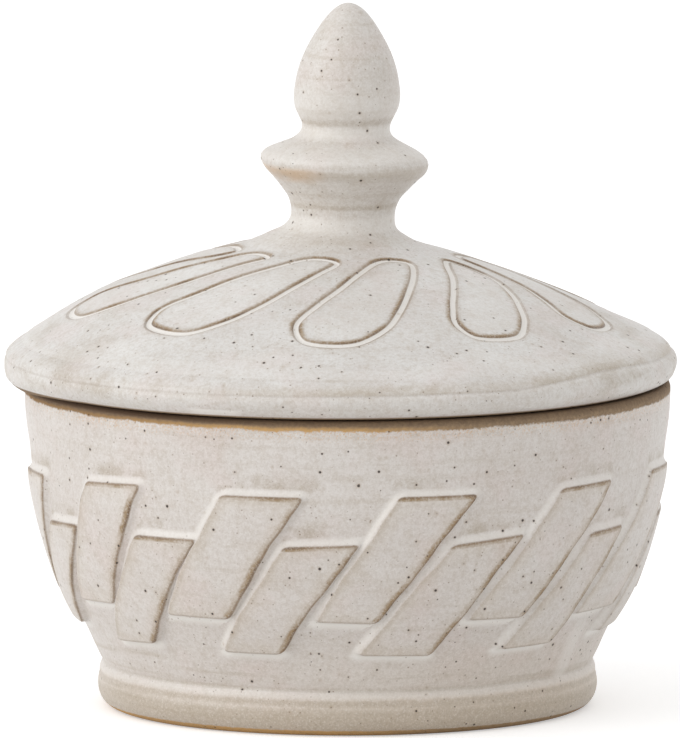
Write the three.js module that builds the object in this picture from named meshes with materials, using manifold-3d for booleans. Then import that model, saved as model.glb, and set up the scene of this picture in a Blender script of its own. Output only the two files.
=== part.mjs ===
// Storage jar: a stoneware bowl on a ring foot, with a band of raised slanting panels, and a domed lid
// with an acorn finial.
//
// Millimetres, +Z up. The origin is the centre of the plane that the foot stands on, on the bowl's axis.
// The front is towards -Y. Angles round the jar are in degrees from the front, positive towards +X.

import * as THREE from 'three';
import { mergeVertices } from 'three/addons/utils/BufferGeometryUtils.js';
import Module from 'manifold-3d';

const wasm = await Module();
wasm.setup();

// Ring foot
const footRestRadius = 48.6;
const footRingWidth = 8;
const footRadius = 52.1;
const footBulgeHeight = 4;
const footHeight = 9.5;
const footRecess = 2;

// Bowl
const waistRadius = 51;
const rimRadius = 67.3;
const rimHeight = 68;
const wallFullness = 2.1;
const wallThickness = 5.4;
const floorThickness = 6;
const floorCornerRadius = 11;
const rimThickness = 5.2;
const rimEdgeRadius = 1.3;

// Band of raised panels: two rows of slanting strips that interlock
const panelCount = 11;
const panelWidth = 16.2;
const panelHeight = 1.1;
const panelBevel = 0.7;
const panelRoot = 0.7;
const panelLean = 35;
const panelStart = -1;
const upperPanelBottom = 25.7;
const upperPanelTop = 52;
const lowerPanelBottom = 18.5;
const lowerPanelTop = 42;

// Lid
const lidShift = -1.2;
const seatGap = 0.3;
const lidRadius = 70.3;
const lidEdgeRise = 3.7;
const lidEdgeInset = 3.3;
const domeRise = 29.3;
const domeSlopePower = 1.13;
const domeShoulderPower = 0.69;
const domeFullness = 0.4;
const lidThickness = 6;
const flangeDepth = 6;
const flangeThickness = 4.5;
const flangeRounding = 1.1;
const flangeClearance = 0.8;

// Petals cut into the dome: long loops that lean as they run in, broad outside and narrow inside
const petalCount = 10;
const petalStart = -8;
const petalOuterReach = 55.2;
const petalInnerReach = 22.8;
const petalTwist = 44;
const petalLeftWidth = 6;
const petalRightWidth = 23.6;
const petalSidePower = 0.25;
const petalOuterPower = 0.35;
const petalInnerPower = 0.8;
const petalCutWidth = 1.6;
const petalCutDepth = 0.6;

// Finial: flared neck, sharp collar, short stem and acorn
const neckFlareRadius = 18.5;
const neckFlareSink = 0.3;
const finialShift = 0.7;
const finialRoot = 3;
const neckRadius = 10.8;
const neckRise = 6.2;
const collarRadius = 17.6;
const collarRise = 11;
const collarEdge = 1.2;
const collarUndercutPower = 1.75;
const collarTopPower = 1.5;
const stemRadius = 9.2;
const stemRise = 6.4;
const acornRadius = 11.15;
const acornShoulder = 6.4;
const acornRise = 19.6;
const acornPower = 1.7;
const acornTipPower = 0.65;

// Steps round the pot, and round the slimmer finial
const roundSteps = 64;
const finialSteps = 32;

// Booleans

function solidOf(geometry) {
  geometry.deleteAttribute('normal');
  geometry.deleteAttribute('uv');
  const merged = mergeVertices(geometry, 1e-4);
  const index = merged.index.array;
  const triVerts = [];
  for (let i = 0; i < index.length; i += 3) {
    const [a, b, c] = [index[i], index[i + 1], index[i + 2]];
    if (a !== b && b !== c && c !== a) triVerts.push(a, b, c);
  }
  return new wasm.Manifold(new wasm.Mesh({
    numProp: 3,
    vertProperties: new Float32Array(merged.attributes.position.array),
    triVerts: new Uint32Array(triVerts),
  }));
}

function geometryOf(solid) {
  const { vertProperties, triVerts } = solid.getMesh();
  const geometry = new THREE.BufferGeometry();
  geometry.setAttribute('position', new THREE.BufferAttribute(vertProperties, 3));
  geometry.setIndex(new THREE.BufferAttribute(triVerts, 1));
  geometry.computeVertexNormals();
  return geometry;
}

// Outlines: lists of [radius, height]

// A quarter of an ellipse between two corners. It leaves the first corner level or upright, and
// arrives the other way round.
function quarter([r0, z0], [r1, z1], leavesLevel, steps) {
  const points = [];
  for (let i = 1; i <= steps; i += 1) {
    const angle = (i / steps) * Math.PI / 2;
    const along = Math.sin(angle);
    const across = 1 - Math.cos(angle);
    const radial = leavesLevel ? along : across;
    const rising = leavesLevel ? across : along;
    points.push([r0 + (r1 - r0) * radial, z0 + (z1 - z0) * rising]);
  }
  return points;
}

function steppedCurve(at, from, to, steps) {
  const points = [];
  for (let i = 1; i <= steps; i += 1) points.push(at(from + (to - from) * (i / steps)));
  return points;
}

function turned(outline, steps) {
  const profile = outline.map(([r, z]) => new THREE.Vector2(Math.max(r, 0), z));
  const geometry = new THREE.LatheGeometry(profile, steps);
  geometry.rotateX(Math.PI / 2);
  return solidOf(geometry);
}

function around(degrees, radius, height) {
  const angle = THREE.MathUtils.degToRad(degrees);
  return [radius * Math.sin(angle), -radius * Math.cos(angle), height];
}

// Bowl and foot

function wallRadius(z) {
  const t = (z - footHeight) / (rimHeight - footHeight);
  return waistRadius + (rimRadius - waistRadius) * (1 - (1 - t) ** wallFullness);
}

function hollowRadius(z) {
  const below = Math.max(0, footRecess + floorThickness + floorCornerRadius - z) / floorCornerRadius;
  const corner = floorCornerRadius * (1 - Math.sqrt(Math.max(0, 1 - below ** 2)));
  return wallRadius(z) - wallThickness - corner;
}

const mouthRadius = rimRadius - rimThickness;

function bowlOutline() {
  const ringInner = footRestRadius - footRingWidth;
  const floorTop = footRecess + floorThickness;
  const mouthTop = rimHeight - rimEdgeRadius;
  return [
    [0, footRecess],
    [ringInner - footRecess, footRecess],
    [ringInner, 0],
    [footRestRadius, 0],
    ...quarter([footRestRadius, 0], [footRadius, footBulgeHeight], true, 4),
    ...quarter([footRadius, footBulgeHeight], [waistRadius, footHeight], false, 3),
    ...steppedCurve((z) => [wallRadius(z), z], footHeight, mouthTop, 11),
    ...quarter([wallRadius(mouthTop), mouthTop], [rimRadius - rimEdgeRadius, rimHeight], false, 3),
    ...quarter([mouthRadius + rimEdgeRadius, rimHeight], [mouthRadius, mouthTop], true, 2),
    [mouthRadius, mouthTop - rimThickness],
    ...steppedCurve((z) => [hollowRadius(z), z], mouthTop - 2 * rimThickness, floorTop, 8),
    [0, floorTop],
  ];
}

// One panel: a slab bent round the wall, with bevelled edges, rooted in the clay behind it
function panelSolid(leftAtMiddle, bottom, top) {
  const bandMiddle = (lowerPanelBottom + upperPanelTop) / 2;
  const toDegrees = THREE.MathUtils.radToDeg(1 / wallRadius(bandMiddle));
  const lean = Math.tan(THREE.MathUtils.degToRad(panelLean));
  const spread = panelBevel * (1 + panelRoot / panelHeight);
  const across = 3;
  const down = 4;
  const corner = (u, v, grow, lift) => {
    const z = bottom - grow + (top - bottom + 2 * grow) * v;
    const run = (z - bandMiddle) * lean - grow + (panelWidth + 2 * grow) * u;
    return around(leftAtMiddle + run * toDegrees, wallRadius(z) + lift, z);
  };
  const positions = [];
  for (const [grow, lift] of [[0, panelHeight], [spread, -panelRoot]]) {
    for (let j = 0; j <= down; j += 1) {
      for (let i = 0; i <= across; i += 1) positions.push(...corner(i / across, j / down, grow, lift));
    }
  }
  const front = (i, j) => j * (across + 1) + i;
  const back = (i, j) => front(i, j) + (across + 1) * (down + 1);
  const faces = [];
  const quad = (a, b, c, d) => faces.push(a, b, c, a, c, d);
  for (let j = 0; j < down; j += 1) {
    for (let i = 0; i < across; i += 1) {
      quad(front(i, j), front(i + 1, j), front(i + 1, j + 1), front(i, j + 1));
      quad(back(i, j), back(i, j + 1), back(i + 1, j + 1), back(i + 1, j));
    }
    quad(back(0, j), front(0, j), front(0, j + 1), back(0, j + 1));
    quad(front(across, j), back(across, j), back(across, j + 1), front(across, j + 1));
  }
  for (let i = 0; i < across; i += 1) {
    quad(back(i, 0), back(i + 1, 0), front(i + 1, 0), front(i, 0));
    quad(front(i, down), front(i + 1, down), back(i + 1, down), back(i, down));
  }
  const geometry = new THREE.BufferGeometry();
  geometry.setAttribute('position', new THREE.Float32BufferAttribute(positions, 3));
  geometry.setIndex(faces);
  return solidOf(geometry);
}

function bowlSolid() {
  let solid = turned(bowlOutline(), roundSteps);
  for (let k = 0; k < 2 * panelCount; k += 1) {
    const left = panelStart + 180 * k / panelCount;
    const upper = k % 2 === 0;
    const bottom = upper ? upperPanelBottom : lowerPanelBottom;
    const top = upper ? upperPanelTop : lowerPanelTop;
    solid = solid.add(panelSolid(left, bottom, top));
  }
  return solid;
}

// Lid, drawn round its own axis

const seatHeight = rimHeight + seatGap;
const flangeRadius = mouthRadius - flangeClearance - Math.abs(lidShift);

function domeHeight(r) {
  const flatness = Math.max(0, 1 - (r / lidRadius) ** domeSlopePower);
  return seatHeight + lidEdgeRise + domeRise * flatness ** domeShoulderPower;
}

function lidOutline() {
  const hollow = flangeRadius - flangeThickness;
  const flangeBottom = seatHeight - flangeDepth;
  return [
    [0, domeHeight(0) - lidThickness],
    ...steppedCurve((r) => [r, domeHeight(r) - lidThickness], 0, hollow, 7),
    [hollow, flangeBottom + flangeRounding],
    [hollow + flangeRounding, flangeBottom],
    [flangeRadius - flangeRounding, flangeBottom],
    [flangeRadius, flangeBottom + flangeRounding],
    [flangeRadius, seatHeight],
    [lidRadius - lidEdgeInset, seatHeight],
    ...quarter([lidRadius - lidEdgeInset, seatHeight], [lidRadius, seatHeight + lidEdgeRise], true, 4),
    ...steppedCurve((t) => [lidRadius * Math.sin(t), domeHeight(lidRadius * Math.sin(t))], Math.PI / 2, 0, 13),
  ];
}

// The dome was thrown fuller on its left: it stands higher there, and lower on its right
function fullnessAt(x, y) {
  const from = neckFlareRadius;
  const to = lidRadius - lidEdgeInset;
  const r = Math.hypot(x, y);
  const share = Math.max(0, 1 - ((2 * r - from - to) / (to - from)) ** 2);
  return -domeFullness * share * x / Math.max(r, neckFlareRadius);
}

// The middle line of one petal's cut in plan: out along its right side, and back along its left
function petalLine(degrees) {
  const outer = new THREE.Vector2(...around(degrees, petalOuterReach, 0));
  const inner = new THREE.Vector2(...around(degrees + petalTwist, petalInnerReach, 0));
  const run = inner.clone().sub(outer);
  const aside = new THREE.Vector2(-run.y, run.x).normalize();
  const right = (t) => -petalRightWidth * t ** petalOuterPower * (1 - t) ** petalInnerPower;
  const left = (t) => petalLeftWidth * (t * (1 - t)) ** petalSidePower;
  const at = (t, width) => outer.clone().addScaledVector(run, t).addScaledVector(aside, width(t));
  const along = (u) => (1 - Math.cos(Math.PI * u)) / 2;
  const steps = 17;
  const points = [];
  for (let i = 0; i < steps; i += 1) points.push(at(along(i / steps), right));
  for (let i = steps; i > 0; i -= 1) points.push(at(along(i / steps), left));
  return points;
}

// The clay that one petal's cut takes away: a square channel along the line
function petalCut(degrees) {
  const line = petalLine(degrees);
  const count = line.length;
  const positions = [];
  line.forEach((point, i) => {
    const run = line[(i + 1) % count].clone().sub(line[(i + count - 1) % count]).normalize();
    const across = new THREE.Vector2(-run.y, run.x);
    for (const [side, rise] of [[-0.5, -1], [0.5, -1], [0.5, 1], [-0.5, 1]]) {
      const edge = point.clone().addScaledVector(across, side * petalCutWidth);
      positions.push(edge.x, edge.y, domeHeight(edge.length()) + rise * petalCutDepth);
    }
  });
  const faces = [];
  for (let i = 0; i < count; i += 1) {
    for (let side = 0; side < 4; side += 1) {
      const [a, b] = [4 * i + side, 4 * i + (side + 1) % 4];
      const [c, d] = [4 * ((i + 1) % count) + (side + 1) % 4, 4 * ((i + 1) % count) + side];
      faces.push(a, b, c, a, c, d);
    }
  }
  const geometry = new THREE.BufferGeometry();
  geometry.setAttribute('position', new THREE.Float32BufferAttribute(positions, 3));
  geometry.setIndex(faces);
  return solidOf(geometry);
}

function finialOutline() {
  const flareFoot = domeHeight(neckFlareRadius) - neckFlareSink;
  const neckHeight = flareFoot + neckRise;
  const collarHeight = neckHeight + collarRise;
  const collarLip = collarRadius - collarEdge / 2;
  const stemHeight = collarHeight + collarEdge + stemRise;
  const acornHeight = stemHeight + acornShoulder;
  const underCollar = (t) => [
    neckRadius + (collarLip - neckRadius) * t ** collarUndercutPower,
    neckHeight + (collarRise - collarEdge) * t,
  ];
  const overCollar = (t) => [
    stemRadius + (collarLip - stemRadius) * (1 - t) ** collarTopPower,
    collarHeight + collarEdge + stemRise * t,
  ];
  const acornFoot = (t) => [
    stemRadius + (acornRadius - stemRadius) * Math.sin(t),
    stemHeight + acornShoulder * t / (Math.PI / 2),
  ];
  const acornTip = (t) => [
    acornRadius * Math.max(0, 1 - Math.sin(t) ** acornPower) ** acornTipPower,
    acornHeight + acornRise * Math.sin(t),
  ];
  return [
    [0, domeHeight(0) - finialRoot],
    [neckRadius, domeHeight(neckRadius) - finialRoot],
    [neckFlareRadius, flareFoot],
    ...quarter([neckFlareRadius, flareFoot], [neckRadius, neckHeight], true, 4),
    ...steppedCurve(underCollar, 0, 1, 5),
    [collarRadius, collarHeight],
    overCollar(0),
    ...steppedCurve(overCollar, 0, 1, 5),
    ...steppedCurve(acornFoot, 0, Math.PI / 2, 3),
    ...steppedCurve(acornTip, 0, Math.PI / 2, 8),
  ];
}

function lidSolid() {
  let dome = turned(lidOutline(), roundSteps);
  for (let k = 0; k < petalCount; k += 1) dome = dome.subtract(petalCut(petalStart + 360 * k / petalCount));
  dome = dome.warp((point) => {
    const [x, y, z] = point;
    const outside = z > domeHeight(Math.hypot(x, y)) - lidThickness / 2;
    if (outside) point[2] = z + fullnessAt(x, y);
  });
  return dome.add(turned(finialOutline(), finialSteps).translate([finialShift, 0, 0]));
}

// The assembled jar, the lid resting on the rim

function glaze() {
  return new THREE.MeshStandardMaterial({ color: 0xd8d3cc, roughness: 0.42, metalness: 0 });
}

const jar = new THREE.Group();

const bowl = new THREE.Mesh(geometryOf(bowlSolid()), glaze());
bowl.name = 'jar_body';
jar.add(bowl);

const lid = new THREE.Mesh(geometryOf(lidSolid()), glaze());
lid.name = 'lid';
lid.position.x = lidShift;
jar.add(lid);

export default jar;
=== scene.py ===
import math

import bpy
import numpy as np
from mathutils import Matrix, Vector
from mathutils.geometry import delaunay_2d_cdt


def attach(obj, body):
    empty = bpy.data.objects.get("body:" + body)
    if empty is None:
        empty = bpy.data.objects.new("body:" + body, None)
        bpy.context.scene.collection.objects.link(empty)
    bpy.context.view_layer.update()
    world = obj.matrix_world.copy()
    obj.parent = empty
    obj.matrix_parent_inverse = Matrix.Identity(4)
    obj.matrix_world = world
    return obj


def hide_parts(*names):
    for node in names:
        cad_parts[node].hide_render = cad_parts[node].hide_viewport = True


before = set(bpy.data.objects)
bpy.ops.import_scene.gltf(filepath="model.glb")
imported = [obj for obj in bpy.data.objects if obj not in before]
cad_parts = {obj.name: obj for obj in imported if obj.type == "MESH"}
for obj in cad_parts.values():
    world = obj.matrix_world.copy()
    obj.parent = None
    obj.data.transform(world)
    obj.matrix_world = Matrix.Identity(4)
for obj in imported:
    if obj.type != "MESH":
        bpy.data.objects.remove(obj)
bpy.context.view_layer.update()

# The table the jar stands on for its picture: a white floor that runs on to the horizon, one big
# soft lamp at the left and a long lens a little above the rim, so that upright lines stay
# upright and the foot, the rim and the collar show the same narrow ellipses.
MM = 0.001
aim = Vector((-1.56, 0, 70.3)) * MM
lens_tilt = math.radians(7.35)
lens_distance = 6
view_width = 141.67 * MM
film_width = 36

camera_data = bpy.data.cameras.new("camera")
camera_data.sensor_fit = "HORIZONTAL"
camera_data.sensor_width = film_width
camera_data.lens = film_width * lens_distance / view_width
camera_data.clip_end = 60
camera = bpy.data.objects.new("camera", camera_data)
camera.location = aim + lens_distance * Vector((0, -math.cos(lens_tilt), math.sin(lens_tilt)))
camera.rotation_euler = (math.pi / 2 - lens_tilt, 0, 0)
bpy.context.collection.objects.link(camera)
bpy.context.scene.camera = camera
bpy.context.scene.view_settings.view_transform = "Standard"


class Nodes:
    """Adds nodes to one tree, and gives each output back as a Field that takes part in sums."""

    def __init__(self, tree):
        self.tree = tree

    def add(self, kind, settings=None, sockets=None):
        node = self.tree.nodes.new(kind)
        for name, value in (settings or {}).items():
            setattr(node, name, value)
        for key, value in (sockets or {}).items():
            if isinstance(value, Field):
                self.tree.links.new(value.socket, node.inputs[key])
            else:
                node.inputs[key].default_value = value
        return node

    def field(self, kind, output=0, settings=None, sockets=None):
        return Field(self, self.add(kind, settings, sockets).outputs[output])

    def math(self, operation, *values):
        return self.field("ShaderNodeMath", 0, {"operation": operation}, dict(enumerate(values)))


class Field:
    """A number, colour or vector that changes over the surface."""

    def __init__(self, nodes, socket):
        self.nodes = nodes
        self.socket = socket

    def __add__(self, other):
        return self.nodes.math("ADD", self, other)

    def __sub__(self, other):
        return self.nodes.math("SUBTRACT", self, other)

    def __rsub__(self, other):
        return self.nodes.math("SUBTRACT", other, self)

    def __mul__(self, other):
        return self.nodes.math("MULTIPLY", self, other)

    def __truediv__(self, other):
        return self.nodes.math("DIVIDE", self, other)

    def __abs__(self):
        return self.nodes.math("ABSOLUTE", self)

    def __pow__(self, other):
        return self.nodes.math("POWER", self, other)

    __radd__ = __add__
    __rmul__ = __mul__

    def rise(self, low, high):
        """0 below low, 1 above high and a smooth step between; high may be the lower of the two."""
        return self.nodes.field("ShaderNodeMapRange", 0, {"interpolation_type": "SMOOTHSTEP"}, {
            "Value": self, "From Min": low, "From Max": high})

    def least(self, other):
        return self.nodes.math("MINIMUM", self, other)

    def most(self, other):
        return self.nodes.math("MAXIMUM", self, other)


floor_reach = 30
floor_white = (0.82, 0.82, 0.82, 1)
floor_glow = 0.42
light_all_round = 0.8
full_white = (1, 1, 1, 1)

floor_mesh = bpy.data.meshes.new("floor")
floor_corners = [(floor_reach * x, floor_reach * y, 0) for x, y in ((-1, -1), (1, -1), (1, 1), (-1, 1))]
floor_mesh.from_pydata(floor_corners, [], [(0, 1, 2, 3)])
floor_finish = bpy.data.materials.new("white_floor")
floor_finish.use_nodes = True
floor_finish.node_tree.nodes.clear()
paint = Nodes(floor_finish.node_tree)
plain = paint.field("ShaderNodeBsdfDiffuse", 0, None, {"Color": floor_white})
glow = paint.field("ShaderNodeEmission", 0, None, {"Color": full_white, "Strength": floor_glow})
lit = paint.field("ShaderNodeAddShader", 0, None, {0: plain, 1: glow})
rays = paint.add("ShaderNodeLightPath")
seen = Field(paint, rays.outputs["Is Camera Ray"]).most(Field(paint, rays.outputs["Is Glossy Ray"]))
shown = paint.field("ShaderNodeMixShader", 0, None, {0: seen, 1: plain, 2: lit})
paint.add("ShaderNodeOutputMaterial", None, {"Surface": shown})
floor_mesh.materials.append(floor_finish)
floor = bpy.data.objects.new("floor", floor_mesh)
bpy.context.collection.objects.link(floor)

sky = bpy.data.worlds.new("studio")
sky.use_nodes = True
sky.node_tree.nodes.clear()
air = Nodes(sky.node_tree)
rays = air.add("ShaderNodeLightPath")
white_seen = Field(air, rays.outputs["Is Camera Ray"]).most(Field(air, rays.outputs["Is Glossy Ray"]))
white_seen = white_seen.most(Field(air, rays.outputs["Is Transmission Ray"]))
around_light = air.field("ShaderNodeBackground", 0, None, {"Color": full_white, "Strength": light_all_round})
backdrop = air.field("ShaderNodeBackground", 0, None, {"Color": full_white, "Strength": 1.0})
air.add("ShaderNodeOutputWorld", None, {
    "Surface": air.field("ShaderNodeMixShader", 0, None, {0: white_seen, 1: around_light, 2: backdrop})})
bpy.context.scene.world = sky


def softbox(name, place, size, power):
    """A flat lamp turned towards the jar."""
    lamp = bpy.data.lights.new(name, "AREA")
    lamp.shape = "RECTANGLE"
    lamp.size, lamp.size_y = size
    lamp.energy = power
    stand = bpy.data.objects.new(name, lamp)
    stand.location = place
    stand.rotation_euler = (aim - Vector(place)).to_track_quat("-Z", "Y").to_euler()
    bpy.context.collection.objects.link(stand)


softbox("key_softbox", (-1.75, -0.8, 0.95), (2.2, 1.8), 17)

# The bowl: one wheel-thrown piece of tan stoneware on a ring foot, with slanting slabs of clay
# pressed on round the belly in two interlocking rows. The outside and inside are glazed off-white;
# the rim under the lid and the ring it stands on are wiped back to bare clay.
foot_height = 9.5
waist_radius = 51.0
rim_radius = 67.3
rim_height = 68.0
wall_fullness = 2.1
wall_top = 66.7
low_hollow = 0.6
high_hollow = 0.4

slab_count = 11
slab_proud_foot = 1.6
slab_proud_head = 1.0
slab_corner = 0.9
slab_lean = 0.83
broad_slope = 1.45
steep_slope = 0.95
run_turn = 58.5
run_half_width = 3.2
run_thickness = 0.4
band = (18.5, 25.7, 42.0, 52.0)
turn_slip = 0.5
edge_slip = 0.25
height_slip = 0.3

# Slabs seen from the front, measured on the jar: the angles of the left edge at its foot and head
# and of the right edge at its foot and head, then the heights of the four corners in that order.
# The band's four heights are the feet of the lower and the upper row, then the heads of the two.
upper_slabs = {
    -3: (-101, -86, -83, -71, 25.7, 50.6, 25.7, 51),
    -2: (-66.5, -54.4, -53.2, -40, 25.8, 51.9, 26.4, 52.8),
    -1: (-38.5, -22.9, -23.8, -8, 25.7, 52, 25.7, 52),
    0: (-6.5, 9.4, 6, 23.7, 25.8, 52.1, 25.4, 52.1),
    1: (24.4, 41.7, 37.2, 55.4, 25.5, 51.8, 25.2, 52.2),
    2: (51.9, 71.6, 67.5, 86, 24.4, 52, 24.6, 51.5),
    3: (85.5, 101.5, 100, 117.5, 25.6, 52, 25.6, 52.1),
}
lower_slabs = {
    -2: (-87, -71.6, -74.6, -59, 20.2, 41.6, 19.8, 42.2),
    -1: (-58, -42.3, -44.6, -28.8, 18.2, 42.1, 18.8, 42.3),
    0: (-27.1, -11.6, -14, 2.4, 18.5, 41.6, 18.5, 42.2),
    1: (2.3, 19.5, 17.8, 33.9, 18.5, 41.7, 18.1, 43),
    2: (34, 50.9, 47.8, 61.1, 18.5, 41.6, 18.7, 42.1),
    3: (66, 82.5, 75.8, 95, 19, 41.8, 19.8, 42),
}
usual_upper = np.array((-6.8, 9.1, 6.6, 23.9, 25.6, 52, 25.6, 52))
usual_lower = np.array((-29.2, -12.6, -14.2, 2.3, 18.5, 42, 18.5, 42))
pitch = 360 / slab_count
hand = np.random.default_rng(7)


def bell(distance, width):
    """1 in the middle, and less the further away on either side."""
    return np.exp(-(distance / width) ** 2)


def wall_radius(z):
    """The outside of the belly, drawn in a little above the foot and above the slabs."""
    t = np.clip((z - foot_height) / (rim_height - foot_height), 0, 1)
    r = waist_radius + (rim_radius - waist_radius) * (1 - (1 - t) ** wall_fullness)
    return r - low_hollow * bell(z - 17.5, 5.5) - high_hollow * bell(z - 54.5, 5)


def glaze_run(degrees, z):
    """How thick a run of glaze lies that came down the belly to the foot, at the right."""
    beside = (degrees - run_turn + 180) % 360 - 180
    run = run_thickness * bell(beside, run_half_width) * np.clip((z - 7.5) / 2, 0, 1)
    return run * np.clip((25 - z) / 8, 0, 1)


def slabs(seen, usual, first):
    """One row of slabs all round: the measured ones, and the usual shape with a slip where none is seen."""
    rows = []
    for k in range(first, first + slab_count):
        if k in seen:
            rows.append(np.array(seen[k], float))
        else:
            turned = np.full(4, hand.normal(0, turn_slip)) + hand.normal(0, edge_slip, 4)
            slip = np.concatenate([turned, hand.normal(0, height_slip, 4)])
            rows.append(usual + slip + np.array([pitch * k] * 4 + [0] * 4))
    return rows


lower = slabs(lower_slabs, usual_lower, -2)
upper = slabs(upper_slabs, usual_upper, -3)
upper = upper[1:] + [upper[0] + np.array([360] * 4 + [0] * 4)]
strips = [strip for pair in zip(lower, upper) for strip in pair]

# The left and right edge of every slab as angles at the four heights of the band. Above and below
# a slab its edges run on between the neighbours', so that the clay is meshed along every edge.
edge_at = np.zeros((2 * len(strips), 4))
for s, strip in enumerate(strips):
    for side in (0, 1):
        foot, head = strip[2 * side], strip[2 * side + 1]
        foot_z, head_z = strip[4 + 2 * side], strip[5 + 2 * side]
        edge_at[2 * s + side] = [foot + (head - foot) * (z - foot_z) / (head_z - foot_z) for z in band]
for s in range(len(strips)):
    known, lost = (2, 3) if s % 2 == 0 else (1, 0)
    before, after = 2 * s - 1, 2 * s + 2
    turn_before = -360 if before < 0 else 0
    turn_after = 360 if after >= len(edge_at) else 0
    a, b = edge_at[before % len(edge_at)] + turn_before, edge_at[after % len(edge_at)] + turn_after
    for e in (2 * s, 2 * s + 1):
        share = (edge_at[e, known] - a[known]) / (b[known] - a[known])
        edge_at[e, lost] = a[lost] + share * (b[lost] - a[lost])
edge_heights = np.array((foot_height,) + band + (wall_top,))
edge_angles = np.column_stack([edge_at[:, 0] - 3, edge_at, edge_at[:, 3] + 4])
edge_phase = hand.uniform(0, 6.28, (len(edge_angles), 2))


def edge_angle(e, z):
    """The angle of edge e at height z, with the slight waver of a hand-cut slab."""
    waver = 0.16 * np.sin(0.42 * z + edge_phase[e, 0]) + 0.08 * np.sin(1.1 * z + edge_phase[e, 1])
    inside = np.clip((z - band[0] + 2) / 4, 0, 1) * np.clip((band[3] + 4 - z) / 4, 0, 1)
    return np.interp(z, edge_heights, edge_angles[e]) + waver * inside


# Columns of the bowl's mesh: close together at the slabs' edges, wider across their faces
columns = []
for s in range(len(strips)):
    left, right, onward = 2 * s, 2 * s + 1, 2 * s + 2
    columns += [(left, left, 0, mm) for mm in (0, 0.22, 0.5, 1.0, 1.8)]
    columns += [(left, right, share, 0) for share in (0.25, 0.42, 0.58, 0.75)]
    columns += [(right, right, 0, -mm) for mm in (1.8, 1.0, 0.5, 0.22, 0)]
    columns += [(right, onward, share, 0) for share in (0.16, 0.38, 0.62, 0.84)]


def column_angle(column, z):
    """The angle of a column of the mesh at height z."""
    a, b, share, mm = column
    first = edge_angle(a, z)
    if b == len(edge_angles):
        last = edge_angle(0, z) + 360
    else:
        last = edge_angle(b, z)
    return first + share * (last - first) + np.degrees(mm / wall_radius(z))


def line_heights(corner_foot, corner_head, kind):
    """For each column, the height of the slabs' feet or heads in one row, drawn on between slabs."""
    angles, heights = [], []
    for s in range(kind, len(strips), 2):
        for side in (0, 1):
            angles.append(edge_at[2 * s + side, corner_foot])
            heights.append(strips[s][4 + 2 * side + corner_head])
    angles = np.array(angles)
    heights = np.array(heights)
    angles = np.concatenate([angles - 360, angles, angles + 360])
    heights = np.tile(heights, 3)

    def at(degrees):
        return np.interp(degrees, angles, heights)

    return at


lower_foot = line_heights(0, 0, 0)
upper_foot = line_heights(1, 0, 1)
lower_head = line_heights(2, 1, 0)
upper_head = line_heights(3, 1, 1)

feet = (-1.9, -1.3, -0.75, -0.35, 0, 0.22, 0.5, 1.0, 1.8)
heads = tuple(-mm for mm in reversed(feet))
wall_rows = [9.5, 10.0, 10.7, 11.6, 12.6, 13.8, 15.2]
wall_rows += [band[0] + mm for mm in feet] + [21.4, 22.7]
wall_rows += [band[1] + mm for mm in feet] + [28.8, 30.2, 31.6, 33.0, 34.4, 35.8, 37.2, 38.6, 39.6]
wall_rows += [band[2] + mm for mm in heads] + [45.2, 46.6, 48.0, 49.2]
wall_rows += [band[3] + mm for mm in heads] + [55.2, 56.8, 58.4, 60.0, 61.6, 63.0, 64.2, 65.2, 66.0, wall_top]


def drawn(points, spacing):
    """A smooth line through measured points, cut into steps of about the given length."""
    points = np.array(points, float)
    rows = [points[0]]
    padded = np.vstack([2 * points[0] - points[1], points, 2 * points[-1] - points[-2]])
    for i in range(len(points) - 1):
        p0, p1, p2, p3 = padded[i:i + 4]
        span = np.linalg.norm(p2 - p1)
        bend_in = (p2 - p0) * span / (np.linalg.norm(p2 - p1) + np.linalg.norm(p1 - p0))
        bend_out = (p3 - p1) * span / (np.linalg.norm(p3 - p2) + np.linalg.norm(p2 - p1))
        steps = max(1, round(span / spacing))
        for t in np.arange(1, steps + 1) / steps:
            rows.append((2 * t**3 - 3 * t**2 + 1) * p1 + (t**3 - 2 * t**2 + t) * bend_in
                        + (3 * t**2 - 2 * t**3) * p2 + (t**3 - t**2) * bend_out)
    return rows


# Profiles as radius and height: from the recess under the foot up to the groove over the foot's
# ring, then over the wiped rim, and down the inside to the middle of the floor
under_foot = drawn([(9, 2), (20, 2), (30, 2), (37.6, 2), (39.2, 1.3), (40.3, 0.3), (41.4, 0), (44.5, 0),
                    (47.4, 0), (48.8, 0.1), (50.2, 0.7), (51.2, 1.7), (51.8, 3), (52.05, 4.4),
                    (52, 5.6), (51.84, 6.5), (51.66, 7.2), (51.68, 7.8), (51.6, 8.4), (51.36, 9)], 0.6)
under_foot = [(r, max(z, 0)) for r, z in under_foot]
over_rim = drawn([(67.28, 66.9), (67.1, 67.4), (66.7, 67.8), (66.1, 68), (65, 68), (63.6, 68),
                  (62.8, 67.8), (62.3, 67.2), (62.1, 66.4)], 0.45)
inside = drawn([(62.1, 66.4), (62, 63), (61.6, 59), (60.5, 50), (58.4, 40), (55.2, 30), (51.9, 22),
                (49.7, 17), (47, 13.3), (43.5, 10.6), (39, 8.8), (34, 8.05), (28, 8), (9, 8)], 2.2)[1:]


def even_ring(*values):
    """A radius, a height and the height that the columns' angles are taken at, the same all round."""
    return tuple(np.full(len(columns), float(value)) for value in values)


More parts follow.
